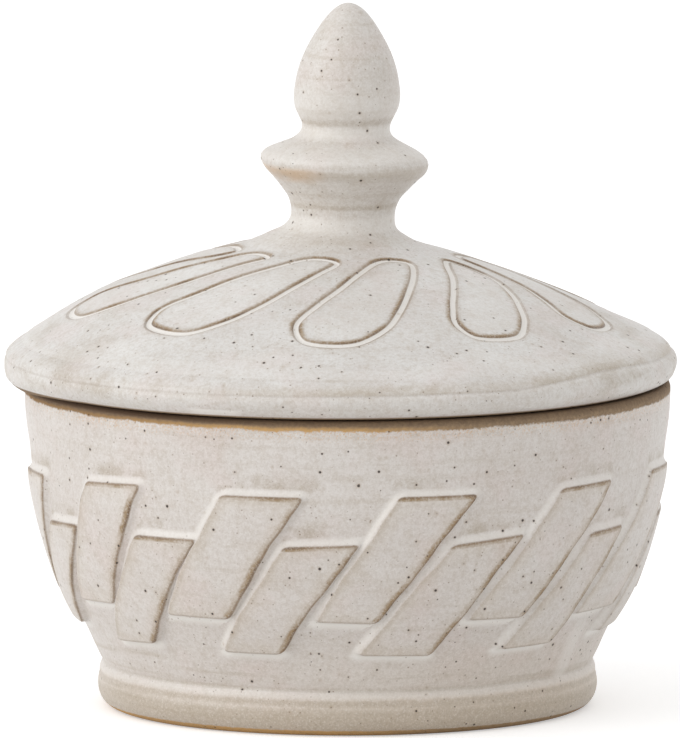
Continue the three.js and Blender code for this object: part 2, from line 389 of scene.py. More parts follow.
level_above = 60.0
bowl_rings = [even_ring(r, z, foot_height) for r, z in under_foot]
for nominal in wall_rows:
    z = np.full(len(columns), float(nominal))
    for _ in range(3):
        degrees = np.array([column_angle(column, level) for column, level in zip(columns, z)])
        lines = np.array([np.full(len(z), foot_height), lower_foot(degrees), upper_foot(degrees),
                          lower_head(degrees), upper_head(degrees), np.full(len(z), level_above)])
        plain_lines = (foot_height,) + band + (level_above,)
        if nominal < level_above:
            z = np.array([np.interp(nominal, plain_lines, lines[:, i]) for i in range(len(z))])
    bowl_rings.append((wall_radius(z), z, z))
bowl_rings += [even_ring(r, z, wall_top) for r, z in over_rim + inside]

points, turns, levels = [], [], []
for r, z, level in bowl_rings:
    degrees = np.array([column_angle(column, height) for column, height in zip(columns, level)])
    t = np.radians(degrees)
    if len(points) < len(under_foot) + len(wall_rows):
        r = r + glaze_run(degrees, z)
    points.append(np.column_stack([r * np.sin(t), -r * np.cos(t), z]))
    turns.append(degrees)
    levels.append(z)
ring_count = len(points)
points = np.vstack(points)
turns = np.concatenate(turns)
levels = np.concatenate(levels)


def ring(index, size):
    """The numbers of the points of one ring, counted from the first."""
    return np.arange(size) + index * size


def band_faces(below, above):
    """Faces between two rings of the same number of points, looking outwards."""
    return np.column_stack([below, np.roll(below, -1), np.roll(above, -1), above]).tolist()


faces = []
for j in range(ring_count - 1):
    faces += band_faces(ring(j, len(columns)), ring(j + 1, len(columns)))
first, last = ring(0, len(columns)), ring(ring_count - 1, len(columns))
centres = np.array([(0, 0, 2), (0, 0, 8)], float)
foot_centre, floor_centre = len(points), len(points) + 1
faces += [(foot_centre, b, a) for a, b in zip(first.tolist(), np.roll(first, -1).tolist())]
faces += [(a, b, floor_centre) for a, b in zip(last.tolist(), np.roll(last, -1).tolist())]
points = np.vstack([points, centres])
turns = np.append(turns, (0, 0))
levels = np.append(levels, (0, 0))

# Every point of the belly belongs to the slab that stands highest there. Kept for it are its
# distance inside (+) or outside (-) that slab's edge in millimetres, how wide the edge's slope is,
# and which way the edge looks: up or down, right or left. Heads and left edges slope broadly,
# because the glaze fills them; feet slope less, and right edges stand steep.
on_wall = np.zeros(len(points), bool)
on_wall[len(under_foot) * len(columns):(len(under_foot) + len(wall_rows)) * len(columns)] = True
wall_turn, wall_z = turns[on_wall], levels[on_wall]
wall_mm = np.radians(1) * wall_radius(wall_z)
marks = {label: np.zeros(len(wall_z)) for label in ("depth", "slope", "looks_up", "looks_right")}
far_off = -9.0
marks["depth"] += far_off
marks["slope"] += broad_slope
closeness = np.full(len(wall_z), far_off)
for s, strip in enumerate(strips):
    foot_line, head_line = (lower_foot, lower_head) if s % 2 == 0 else (upper_foot, upper_head)
    for lap in (-360, 0, 360):
        near = (wall_turn + lap > edge_at[2 * s].min() - 8) & (wall_turn + lap < edge_at[2 * s + 1].max() + 8)
        if not near.any():
            continue
        z, mm, degrees = wall_z[near], wall_mm[near], wall_turn[near] + lap
        from_left = (degrees - edge_angle(2 * s, z)) * mm * slab_lean
        from_right = (edge_angle(2 * s + 1, z) - degrees) * mm * slab_lean
        from_foot, from_head = z - foot_line(degrees), head_line(degrees) - z
        across, along = np.minimum(from_left, from_right), np.minimum(from_foot, from_head)
        a, b = np.maximum(slab_corner - across, 0), np.maximum(slab_corner - along, 0)
        inward = np.where((a > 0) | (b > 0), slab_corner - np.hypot(a, b), np.minimum(across, along))
        length = np.maximum(np.hypot(a, b), 1e-6)
        up = b / length * np.where(from_head < from_foot, 1, -1)
        right = a / length * np.where(from_right < from_left, 1, -1)
        openness = np.maximum(np.maximum(up, -right), -0.6 * up)
        slope = steep_slope + (broad_slope - steep_slope) * np.clip(openness, 0, 1)
        close = np.where(inward > 0, inward, inward / slope)
        better = close > closeness[near]
        picked = np.flatnonzero(near)[better]
        closeness[picked] = close[better]
        for label, values in zip(marks, (inward, slope, up, right)):
            marks[label][picked] = values[better]
notes = {}
for label, values in marks.items():
    notes[label] = np.full(len(points), far_off if label == "depth" else float(label == "slope"))
    notes[label][on_wall] = values
up_the_band = np.clip((levels - band[0]) / (band[3] - band[0]), 0, 1)
notes["proud"] = slab_proud_foot + (slab_proud_head - slab_proud_foot) * up_the_band


def clay_object(name, points, faces, notes):
    """A closed mesh in metres with its measurements kept on the points, before its relief is raised."""
    mesh = bpy.data.meshes.new(name)
    mesh.from_pydata((points * MM).tolist(), [], faces)
    mesh.validate()
    mesh.shade_smooth()
    for label, values in notes.items():
        mesh.attributes.new(label, "FLOAT", "POINT").data.foreach_set("value", np.asarray(values, np.float32))
    piece = bpy.data.objects.new(name, mesh)
    bpy.context.collection.objects.link(piece)
    return piece


def shaping_tree(name, sizes):
    """An empty Geometry Nodes tree with a geometry input and one named input for each size."""
    tree = bpy.data.node_groups.new(name, "GeometryNodeTree")
    tree.interface.new_socket("Geometry", in_out="INPUT", socket_type="NodeSocketGeometry")
    tree.interface.new_socket("Geometry", in_out="OUTPUT", socket_type="NodeSocketGeometry")
    keys = {}
    for label in sizes:
        socket = tree.interface.new_socket(label, in_out="INPUT", socket_type="NodeSocketFloat")
        keys[label] = socket.identifier
    nodes = Nodes(tree)
    given = nodes.add("NodeGroupInput")
    return nodes, {label: Field(nodes, given.outputs[label]) for label in ["Geometry", *sizes]}, keys


def measured(nodes, label):
    """A measurement that was kept on the mesh's points."""
    return nodes.field("GeometryNodeInputNamedAttribute", 0, {"data_type": "FLOAT"}, {"Name": label})


def raised(nodes, clay, height, material):
    """Moves the clay out along its own surface by a height, and gives it its finish."""
    surface = nodes.field("GeometryNodeInputNormal")
    push = nodes.field("ShaderNodeVectorMath", 0, {"operation": "SCALE"}, {0: surface, "Scale": height})
    moved = nodes.field("GeometryNodeSetPosition", 0, None, {"Geometry": clay, "Offset": push})
    whole = nodes.field("GeometryNodeRealizeInstances", 0, None, {0: moved})
    dressed = nodes.add("GeometryNodeSetMaterial", None, {"Geometry": whole})
    dressed.inputs["Material"].default_value = material
    nodes.add("NodeGroupOutput", None, {0: Field(nodes, dressed.outputs[0])})


def shaped(piece, tree, keys, sizes):
    """Runs the tree on the piece and keeps the result as a plain mesh."""
    modifier = piece.modifiers.new(tree.name, "NODES")
    modifier.node_group = tree
    for label, value in sizes.items():
        modifier[keys[label]] = value
    graph = bpy.context.evaluated_depsgraph_get()
    mesh = bpy.data.meshes.new_from_object(
        piece.evaluated_get(graph), preserve_all_data_layers=True, depsgraph=graph)
    piece.modifiers.remove(modifier)
    mesh.name = piece.name
    piece.data = mesh
    mesh.shade_smooth()


def tint(code):
    """A colour written as six hex digits, as the shader wants it."""
    parts = [int(code[i:i + 2], 16) / 255 for i in (0, 2, 4)]
    return tuple(c / 12.92 if c < 0.04045 else ((c + 0.055) / 1.055) ** 2.4 for c in parts) + (1,)


# The glaze and the clay as they look on the jar, in the order in which coat() lays them; several coats also
# carry painted light and painted shade
cool_white = tint("D7D4D0")
soft_white = tint("E1E0DD")
rosy_white = tint("DBCBC7")
warm_white = tint("D6C8B8")
throwing_rings = tint("B7AA98")
faded_and_shaded_tan = tint("C1B095")
mottled_tan = tint("B9AB99")
thin_and_shaded_olive = tint("A3937A")
smoked_and_shaded_brown = tint("92754B")
hatched_and_shaded_brown = tint("A08D71")
worn_and_shaded_brown = tint("7D6242")
scorched_and_shaded_brown = tint("523720")
fine_grain = tint("AFA190")
golden_blush = tint("D0A878")
pooled_and_lit_white = tint("EFEBE5")
bright_crystals = tint("F6F3F0")
speck_halo = tint("A08562")
brown_dust = tint("7D6347")
iron_black = tint("261810")
bare_brown = tint("857059")
bare_tan = tint("9C8467")
bare_gold = tint("C9A069")
bare_dark_and_shaded = tint("553F2D")
iron_in_clay = tint("33221A")


class Glaze(Nodes):
    """The jar's glaze: a thick satin off-white over speckled tan stoneware, laid on coat by coat."""

    def __init__(self, name):
        self.material = bpy.data.materials.new(name)
        self.material.use_nodes = True
        super().__init__(self.material.node_tree)
        self.tree.nodes.clear()
        self.place = self.field("ShaderNodeTexCoord", "Object")
        apart = self.add("ShaderNodeSeparateXYZ", None, {0: self.place})
        self.x, self.y, self.z = (Field(self, apart.outputs[i]) / MM for i in range(3))

    def cloud(self, size, detail=2, roughness=0.5, stretch=(1, 1, 1), shift=(0, 0, 0)):
        """Noise whose lumps are about size millimetres across, from 0 to 1 with its middle at 0.5."""
        where = self.field("ShaderNodeMapping", 0, None, {
            "Vector": self.place, "Scale": stretch, "Location": shift})
        return self.field("ShaderNodeTexNoise", 0, None, {
            "Vector": where, "Scale": 1 / (size * MM), "Detail": detail, "Roughness": roughness})

    def specks(self, spacing, radius, share, shift):
        """Round specks and their halos, one at most in each cell of the clay, where the surface cuts it."""
        where = self.field("ShaderNodeMapping", 0, None, {"Vector": self.place, "Location": shift})
        cells = self.add("ShaderNodeTexVoronoi", None, {"Vector": where, "Scale": 1 / (spacing * MM)})
        picks = self.add("ShaderNodeSeparateColor", None, {0: Field(self, cells.outputs["Color"])})
        away = Field(self, cells.outputs["Distance"]) * spacing
        size = Field(self, picks.outputs[1]) * (radius * 0.7) + radius * 0.3
        chosen = Field(self, picks.outputs[0]).rise(share, share - 0.01)
        speck = (size - away).rise(-0.1 * radius, 0.3 * radius)
        halo = (size * 2.4 - away).rise(0, 1.6 * radius)
        return speck * chosen, halo * chosen

    def attribute(self, label):
        return self.field("ShaderNodeAttribute", "Fac", {"attribute_name": label})

    def mix(self, share, under, over):
        return self.field("ShaderNodeMix", 2, {"data_type": "RGBA"}, {0: share, 6: under, 7: over})

    def coat(self, pink, warmth, pooled_and_lit, worn_and_shaded, smoky_and_shaded, faded_and_shaded, hatched_and_shaded, scorch_and_shade, thin_and_shaded, blushed, streaked,
             bare, dark_and_shaded_clay, golden):
        """Lays all the coats: mottled glaze, white pools and painted light, worn brown edges and painted
        shade, iron specks, and bare clay darkened by painted shade.
        """
        patches = self.cloud(17, 3, 0.55)
        blush = self.cloud(11, 2, 0.5, shift=(3, 1, 2))
        rings = self.cloud(6, 3, 0.6, stretch=(0.12, 0.12, 3.2))
        grain = self.cloud(0.8, 3, 0.7)
        mottle = self.cloud(2.4, 2, 0.6, shift=(6, 2, 5))
        fine = self.cloud(0.36, 2, 0.6)
        patchy = self.cloud(2.6, 3, 0.65, shift=(5, 2, 1))
        colour = self.mix(patches.rise(0.3, 0.7), cool_white, soft_white)
        colour = self.mix(blush.rise(0.45, 0.75) * 0.35 + pink, colour, rosy_white)
        colour = self.mix(warmth, colour, warm_white)
        colour = self.mix(rings.rise(0.5, 0.78) * streaked, colour, throwing_rings)
        colour = self.mix(faded_and_shaded * (0.3 + mottle), colour, faded_and_shaded_tan)
        colour = self.mix(mottle.rise(0.45, 0.8) * 0.32, colour, mottled_tan)
        colour = self.mix(thin_and_shaded * (0.4 + grain * 0.9), colour, thin_and_shaded_olive)
        colour = self.mix(smoky_and_shaded * (grain * 1.8 + patchy * 0.8 - 0.5), colour, smoked_and_shaded_brown)
        colour = self.mix(hatched_and_shaded * fine.rise(0.4, 0.62), colour, hatched_and_shaded_brown)
        colour = self.mix(worn_and_shaded * patchy.rise(0.1, 0.45), colour, worn_and_shaded_brown)
        colour = self.mix(scorch_and_shade, colour, scorched_and_shaded_brown)
        colour = self.mix(grain.rise(0.38, 0.68) * 0.3, colour, fine_grain)
        colour = self.mix(blushed, colour, golden_blush)
        colour = self.mix(pooled_and_lit, colour, pooled_and_lit_white)
        colour = self.mix(fine.rise(0.45, 0.75) * 0.28, colour, bright_crystals)
        iron, halo = self.specks(2.0, 0.34, 0.42, (0, 0, 0))
        dust = self.specks(1.1, 0.2, 0.5, (1, 2, 3))[0]
        colour = self.mix(halo * 0.3, colour, speck_halo)
        colour = self.mix(dust * 0.6, colour, brown_dust)
        colour = self.mix(iron * 0.93, colour, iron_black)
        clay = self.mix(grain.rise(0.35, 0.7), bare_brown, bare_tan)
        clay = self.mix(golden, clay, bare_gold)
        clay = self.mix(dark_and_shaded_clay, clay, bare_dark_and_shaded)
        clay = self.mix(iron * 0.7, clay, iron_in_clay)
        colour = self.mix(bare, colour, clay)
        dull = 0.36 + patches * 0.1 + iron * 0.15 + bare * 0.45
        lumps = self.cloud(4.5, 2, 0.5, shift=(2, 7, 4))
        texture = lumps * 0.1 + grain * 0.05 + fine * 0.012 + fine * bare * 0.05 - iron * 0.05
        bump = self.field("ShaderNodeBump", 0, None, {
            "Height": texture * MM, "Strength": 1.0, "Distance": 1.0})
        skin = self.add("ShaderNodeBsdfPrincipled", None, {
            "Base Color": colour, "Roughness": dull, "Normal": bump, "IOR": 1.5})
        self.add("ShaderNodeOutputMaterial", None, {"Surface": Field(self, skin.outputs[0])})


# Where the bowl's coats lie, each from 0 to 1: along the slabs' edges, at the rim and at the foot; some are
# painted light on slopes that face the lamp and painted shade in creases and under the lid
bowl_glaze = Glaze("bowl_glaze")
inside_edge = bowl_glaze.attribute("depth")
outside_edge = 0 - inside_edge
up = bowl_glaze.attribute("looks_up")
right = bowl_glaze.attribute("looks_right")
broad = bowl_glaze.attribute("slope").rise(steep_slope, broad_slope)
head_or_right = up.most(right).rise(-0.1, 0.7)
left_edge = (0 - right).rise(0.3, 0.8)
foot_edge = (0 - up).rise(0.4, 0.8)
head_blotches = bowl_glaze.cloud(10, 3, 0.6, shift=(1, 5, 3))
brown_runs = bowl_glaze.cloud(9, 2, 0.5, shift=(8, 3, 5))
# White along the slopes above the heads and beside the left edges, which face the lamp: pooled glaze and
# painted light.
slope_pool_and_light = outside_edge.rise(-0.1, 0.5) * outside_edge.rise(1.9, 0.7) * broad
edge_line = inside_edge.rise(-0.25, 0.02) * inside_edge.rise(0.55, 0.12)
edge_smoke = inside_edge.rise(-0.2, 0.1) * inside_edge.rise(2.0, 0.15)
edge_fade = inside_edge.rise(-0.1, 0.3) * inside_edge.rise(4.2, 0.4)
# Painted light: a white strip under the slabs' feet, where a ledge would catch the lamp.
painted_light_below_foot = outside_edge.rise(0.2, 0.7) * outside_edge.rise(2.8, 1.1) * foot_edge
# Greyer patches on the wall above the heads, where their slope meets it.
above_head = outside_edge.rise(1.2, 1.8) * outside_edge.rise(5.0, 2.0)
above_head = above_head * up.rise(0.5, 0.9) * head_blotches.rise(0.4, 0.62)
height = bowl_glaze.z
spread = bowl_glaze.cloud(9, 3, 0.6, shift=(9, 4, 6))
ragged = bowl_glaze.cloud(1.3, 3, 0.7, shift=(4, 8, 2))
crumbs = bowl_glaze.cloud(0.4, 2, 0.7, shift=(3, 3, 7))
glaze_line = height + spread * 1.3 + ragged * 0.8 + crumbs * 0.6 + 0.55
radius = (bowl_glaze.x * bowl_glaze.x + bowl_glaze.y * bowl_glaze.y) ** 0.5
rim_bare = glaze_line.rise(67.55, 68.05) * radius.rise(61.3, 61.8)
rim_golden = glaze_line.rise(68.9, 68.1) * bowl_glaze.x.rise(32, -8)
rim_crumbs = glaze_line.rise(64.8, 67.9) * radius.rise(61.3, 61.8) * crumbs.rise(0.52, 0.62)
foot_bare = (height + ragged * 0.5).rise(1.7, 1.4) * radius.rise(39, 40)
foot_line = height + spread * 0.5
# Round the foot: white on the upward fillet, pooled glaze and painted highlight; painted shade in the shallow
# groove below it and in the crease above it.
foot_pool_and_highlight = foot_line.rise(7.7, 8.7) * foot_line.rise(10.4, 9.3) * radius.rise(50, 51)
foot_groove_shade = foot_line.rise(5.9, 7.1) * foot_line.rise(8.2, 7.4)
foot_crease_shade = foot_line.rise(9.3, 9.7) * foot_line.rise(10.9, 9.9)
toward_run = (math.sin(math.radians(run_turn)), -math.cos(math.radians(run_turn)))
beside_run = abs(bowl_glaze.y * toward_run[0] - bowl_glaze.x * toward_run[1])
run_white = beside_run.rise(3.8, 1) * bowl_glaze.x.rise(20, 30)
run_white = run_white * height.rise(8, 9.5) * height.rise(25, 17)
# Painted shade: the bare rim darkens under the lid's overhang, and more towards the left.
rim_shade = height.rise(66.4, 67.4) * (0.38 + bowl_glaze.x.rise(5, -45) * 0.57)
rim_gilt = rim_golden * (0.62 + spread.rise(0.4, 0.6) * 0.25 + crumbs.rise(0.4, 0.6) * 0.35)
bowl_glaze.coat(
    pink=0.22,
    warmth=0.19 + foot_line.rise(9.8, 7.8) * 0.34 + height.rise(24, 12) * bowl_glaze.x.rise(-40, 30) * 0.32,
    pooled_and_lit=(slope_pool_and_light * 0.52).most(foot_pool_and_highlight * 0.3).most(painted_light_below_foot * 0.95).most(run_white * 0.4),
    worn_and_shaded=(edge_line * head_or_right * 0.75).most(edge_line * foot_edge * 0.4),
    smoky_and_shaded=edge_smoke * head_or_right * (0.42 + brown_runs.rise(0.42, 0.64) * 0.9),
    faded_and_shaded=(edge_fade * 0.25).most(foot_line.rise(8, 5) * 0.12),
    hatched_and_shaded=inside_edge.rise(0, 0.2) * inside_edge.rise(1.6, 0.3) * left_edge * 0.55,
    scorch_and_shade=edge_line * head_or_right * brown_runs.rise(0.5, 0.64) * 0.4,
    thin_and_shaded=(above_head * 0.6).most(foot_crease_shade * 0.35).most(foot_groove_shade * 0.5).most(foot_line.rise(7, 5) * 0.6),
    blushed=rim_crumbs * 0.7,
    streaked=0.3 + height.rise(20, 13) * 0.35,
    bare=rim_bare.most(foot_bare),
    dark_and_shaded_clay=rim_shade.most(bowl_glaze.x.rise(-15, -60) * 0.55).least(radius.rise(61.3, 61.8)),
    golden=rim_gilt.most(height.rise(3, 2) * 0.25),
)
bowl = clay_object("bowl", points, faces, notes)
slab_sizes = {"Edge Rounding": 0.12, "Rounding Width": 0.5}
nodes, given, keys = shaping_tree("raised_slabs", slab_sizes)
from_edge = measured(nodes, "depth")
down_slope = (1 - ((0 - from_edge) / measured(nodes, "slope")).most(0).least(1)) ** 2
worn_edge = (1 - from_edge.most(0).least(given["Rounding Width"]) / given["Rounding Width"]) ** 2
lift = down_slope * (measured(nodes, "proud") - worn_edge * given["Edge Rounding"])
raised(nodes, given["Geometry"], lift * MM, bowl_glaze.material)
shaped(bowl, nodes.tree, keys, slab_sizes)
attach(bowl, "jar_body")
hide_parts("jar_body")

# The lid: a second wheel-thrown piece, a shallow dome with a thick rolled edge that overhangs the
# bowl, a short ring underneath that keeps it centred, and a turned knob with a sharp collar under
# an acorn. Long petals are cut into the dome round the knob, and the glaze lies white in the cuts.
lid_axis = -1.2
lid_radius = 70.3
dome_foot = 72.0
dome_rise = 29.3
dome_slope_power = 1.13
dome_shoulder_power = 0.69
neck_ring = 19.5
shoulder_ring = 66.5
lid_columns = 360
knob_columns = 200
wreath_spacing = 1.25
wreath_step = 1.3
outer_rings = 45
edge_begins = 64
collar_tilt = 0.042
right_pull = 0.4

# Each petal in plan: angle and distance of its outer end, the same for its inner end, then its
# half widths to the left and to the right of the line between them, at five stations on the way
# in. The first six are measured on the jar; the four behind repeat their usual shape.
stations = (0.1, 0.3, 0.5, 0.7, 0.9)
petals = [
    (-117.5, 55.4, -71.1, 23.1, (6.2, 8.1, 7.9, 6.0, 3.4), (6.6, 8.1, 7.4, 5.5, 3.4)),
    (-84.8, 56.2, -42.3, 22.9, (4.4, 2.8, 2.0, 2.6, 3.6), (9.3, 11.5, 10.0, 7.2, 2.4)),
    (-47.2, 54.4, -2.4, 22.7, (4.4, 4.2, 4.4, 4.3, 3.9), (9.7, 12.3, 10.8, 7.2, 2.8)),
    (-7.8, 55.4, 37.8, 22.8, (4.7, 4.7, 4.1, 4.3, 4.0), (8.9, 11.7, 10.3, 7.4, 3.6)),
    (31.0, 54.3, 67.3, 24.1, (3.6, 3.2, 1.9, 0.9, 0.9), (9.1, 11.9, 12.1, 11.4, 8.2)),
    (68.4, 56.6, 100.4, 26.6, (4.7, 3.3, 2.2, 3.7, 6.2), (8.2, 10.6, 10.2, 9.2, 6.2)),
    (102.5, 55.2, 146.5, 22.8, (4.8, 4.3, 4.0, 4.2, 3.8), (9.0, 11.6, 10.4, 7.2, 3.2)),
    (137.5, 54.8, 182.5, 23.4, (4.6, 4.0, 3.6, 3.8, 3.6), (9.3, 11.8, 10.2, 6.9, 2.8)),
    (173.0, 55.8, 217.4, 22.6, (5.0, 4.6, 4.2, 4.4, 4.0), (8.8, 11.2, 10.0, 7.0, 3.4)),
    (208.2, 55.0, 253.2, 23.0, (4.5, 4.1, 3.9, 4.1, 3.7), (9.1, 11.5, 10.1, 6.8, 2.9)),
]
cut_steps = (0, 0.3, 0.6, 0.9, 1.3, 1.8)


def dome(r, t):
    """Height of the dome's top; it was thrown a little fuller on the left."""
    down = np.maximum(1 - np.minimum(r / lid_radius, 1) ** dome_slope_power, 0)
    height = dome_foot + dome_rise * down ** dome_shoulder_power
    return height + 0.45 * bell(r - 66.5, 3) - fullness(r, t)


def fullness(r, t):
    """How far it falls below a true dome: nothing in front, and less than nothing at the left."""
    at_left = 1.5 * np.maximum(0, 1 - ((r - 42.5) / 24.5) ** 2)
    at_left = at_left + 0.3 * bell(r - 20, 5) - 0.25 * bell(r - 41, 6)
    at_right = 0.92 * np.maximum(0, 1 - ((r - 37) / 28) ** 2)
    at_right = at_right + 0.45 * bell(r - 16, 6) + 0.45 * bell(r - 57.5, 4.5)
    return np.sin(t) * np.where(np.sin(t) < 0, at_left, at_right)


def petal_outline(outer_turn, outer_reach, inner_turn, inner_reach, to_left, to_right):
    """The closed centre line of one petal's cut in plan, a point every 0.45 mm or so."""
    outer, inner = (reach * np.array((math.sin(math.radians(t)), -math.cos(math.radians(t))))
                    for t, reach in ((outer_turn, outer_reach), (inner_turn, inner_reach)))
    run = inner - outer
    aside = np.array((-run[1], run[0])) / np.linalg.norm(run)
    corners = [outer] + [outer + run * f - aside * w for f, w in zip(stations, to_right)]
    corners += [inner] + [outer + run * f + aside * w for f, w in zip(stations[::-1], to_left[::-1])]
    line = np.array(drawn(corners[-2:] + corners + corners[:3], 0.45))
    first, last = np.linalg.norm(line - outer, axis=1).argsort()[:2]
    line = line[min(first, last):max(first, last)]
    for _ in range(4):
        line = (np.roll(line, 1, 0) + 2 * line + np.roll(line, -1, 0)) / 4
    return line


def nearest_cut(where, lines):
    """For each place the signed distance to the nearest petal's line (+ inside) and the nearest point."""
    far_away = 99.0
    near_by = 4
    places_at_once = 3000
    best = np.full(len(where), far_away)
    foot = np.zeros((len(where), 2))
    for line in lines:
        middle = line.mean(0)
        span = np.linalg.norm(line - middle, axis=1).max() + near_by
        near = np.flatnonzero(np.linalg.norm(where - middle, axis=1) < span)
        start, run = line, np.roll(line, -1, 0) - line
        for part in np.array_split(near, max(1, len(near) // places_at_once)):
            gap = where[part][:, None, :] - start[None]
            share = np.clip((gap * run).sum(2) / (run * run).sum(1), 0, 1)
            apart = np.linalg.norm(gap - share[..., None] * run, axis=2)
            pick = apart.argmin(1)
            row = np.arange(len(part))
            distance = apart[row, pick]
            left_of = run[pick][:, 0] * gap[row, pick][:, 1] - run[pick][:, 1] * gap[row, pick][:, 0]
            signed = distance * np.where(left_of > 0, 1, -1)
            better = distance < np.abs(best[part])
            best[part[better]] = signed[better]
            foot[part[better]] = (start[pick] + share[row, pick][:, None] * run[pick])[better]
    return best, foot


def circle(radius, count, turn=0.0):
    """Points round a circle in plan, from the front, turned by part of a step."""
    t = 2 * math.pi * (np.arange(count) + turn) / count
    return radius * np.column_stack([np.sin(t), -np.cos(t)])


# The dome's mesh in plan: rings at the neck and shoulder, every petal's line with rows of points
# along both its sides, and wreaths of points over the ground between
lines = [petal_outline(*petal) for petal in petals]
plan = [circle(neck_ring, knob_columns), circle(shoulder_ring, lid_columns)]
fixed = [(i, (i + 1) % knob_columns) for i in range(knob_columns)]
fixed += [(knob_columns + i, knob_columns + (i + 1) % lid_columns) for i in range(lid_columns)]
for line in lines:
    start = sum(len(part) for part in plan)
    plan.append(line)
    fixed += [(start + i, start + (i + 1) % len(line)) for i in range(len(line))]
    run = np.roll(line, -1, 0) - np.roll(line, 1, 0)
    across = np.column_stack([-run[:, 1], run[:, 0]]) / np.linalg.norm(run, axis=1)[:, None]
    for step in cut_steps[1:]:
        for way in (-step, step):
            beside = line + across * way
            kept = np.abs(nearest_cut(beside, lines)[0]) > step - 0.06
            plan.append(beside[kept])
for k, radius in enumerate(np.arange(neck_ring + 0.9, shoulder_ring - 0.5, wreath_spacing)):
    wreath = circle(radius, round(2 * math.pi * radius / wreath_step), 0.5 * (k % 2))
    plan.append(wreath[np.abs(nearest_cut(wreath, lines)[0]) > cut_steps[-1] + 0.6])
plan = np.vstack(plan)
out = delaunay_2d_cdt([Vector(p) for p in plan], fixed, [], 0, 1e-6)
place_of = {source: new for new, sources in enumerate(out[3]) for source in sources}
plan = np.array([tuple(p) for p in out[0]])
middles = np.array([plan[list(face)].mean(0) for face in out[2]])
inner_edge = neck_ring * math.cos(math.pi / knob_columns) - 0.001
lid_faces = [face for face, middle in zip(out[2], middles) if np.linalg.norm(middle) > inner_edge]
cut_distance, cut_foot = nearest_cut(plan, lines)
reach = np.linalg.norm(plan, axis=1)
turn = np.arctan2(plan[:, 0], -plan[:, 1])
# Which side of a cut each point lies on: +1 uphill and a little to the left, where the glaze drew back thin
# and the cut's wall is turned from the lamp; the brown there is thin glaze and painted shade
toward_shaded_uphill = (-0.4, 0.2) - plan / reach[:, None]
toward_shaded_uphill /= np.linalg.norm(toward_shaded_uphill, axis=1)[:, None]
uphill = ((plan - cut_foot) * toward_shaded_uphill).sum(1) / np.maximum(np.linalg.norm(plan - cut_foot, axis=1), 0.05)
lid_points = [np.column_stack([plan, dome(reach, turn)])]
lid_count = len(plan)


def carry_on(below, rings, upwards):
    """Adds rings of points to the lid, each joined to the last, and returns the numbers of the last one."""
    for ring_points in rings:
        above = sum(len(part) for part in lid_points) + np.arange(len(ring_points))
        lid_points.append(ring_points)
        lid_faces.extend(band_faces(below, above) if upwards else band_faces(above, below))
        below = above
    return below


# Heights of the soft crease above the rolled edge, at these angles from the front
crease_turns = (-180, -120, -62, 19, 31, 53, 78, 130, 180)
crease_heights = (74.2, 73.6, 73.0, 73.6, 73.5, 75.3, 74.6, 73.8, 74.2)
crease_depth = 0.2
crease_width = 0.45


def above_crease(x, y, z):
    """How far a point lies above the crease."""
    return z - np.interp(np.degrees(np.arctan2(x, -y)), crease_turns, crease_heights)


def rolled(ring_points):
    """The edge's roll hangs lower at the left, where it was turned over further, and swells at the right."""
    x, y, z = ring_points.T
    r = np.hypot(x, y)
    t = np.degrees(np.arctan2(x, -y))
    at_left = np.clip((-52 - t) / 22, 0, 1) * np.clip((t + 150) / 30, 0, 1)
    at_right = np.clip((t - 60) / 20, 0, 1) * np.clip((150 - t) / 30, 0, 1)
    droop = at_left * np.clip((72.1 - z) / 1.8, 0, 1) * np.clip((r - 66.3) / 1.2, 0, 1)
    swell = 0.4 * droop + 0.25 * at_left * bell(z - 74.2, 1.3)
    swell = swell + 0.45 * at_right * bell(z - 69.3, 1.0)
    out = np.minimum(1 + swell / lid_radius, (lid_radius - 0.01) / np.maximum(r, 1e-6))
    return np.column_stack([x * out, y * out, z - droop])


def creased(ring_points):
    """Presses the crease into a ring of the edge."""
    x, y, z = ring_points.T
    dent = crease_depth * bell(above_crease(x, y, z), crease_width)
    return np.column_stack([x * (1 - dent / lid_radius), y * (1 - dent / lid_radius), z - dent])


# From the dome's shoulder round the rolled edge, in along the seat that lies on the rim, down and
# up round the flange that centres the lid, and up the hollow underneath to its middle
shoulder = [(shoulder_ring, dome(np.array(shoulder_ring), 0.0)), (67.8, 75.9), (68.8, 75.0),
            (69.6, 74.1), (70.1, 73.1), (70.27, 72.1), (70.1, 71.2), (69.6, 70.3), (68.8, 69.4),
            (67.9, 68.75), (67.1, 68.4), (66.2, 68.32), (63, 68.3), (60.9, 68.3), (60.3, 68.1),
            (60.1, 67.5), (60.1, 63.6), (59.8, 62.8), (59.1, 62.4), (57.9, 62.32), (56.6, 62.4),
            (55.9, 62.8), (55.6, 63.6), (55.4, 70), (54.9, 73.6), (53.6, 76.2), (51, 78.2),
            (47, 80.4), (42, 82.9), (36, 85.7), (29, 88.6), (22, 91.2), (15, 93.3), (8, 94.6), (2, 95.0)]
underside = [shoulder[0]]
for lower_part, spacing in ((shoulder[:7], 0.3), (shoulder[6:24], 0.6), (shoulder[23:], 2.4)):
    underside += drawn(lower_part, spacing)[1:]
rim_ring = np.array([place_of[knob_columns + i] for i in range(lid_columns)])
rings = [np.column_stack([circle(r, lid_columns), np.full(lid_columns, z)]) for r, z in underside[1:]]
rings[:outer_rings] = [creased(rolled(ring_points)) for ring_points in rings[:outer_rings]]
end = carry_on(rim_ring, rings, False)
pole = sum(len(part) for part in lid_points)
lid_points.append(np.array([(0, 0, 95.0)]))
lid_faces += [(b, a, pole) for a, b in zip(end.tolist(), np.roll(end, -1).tolist())]

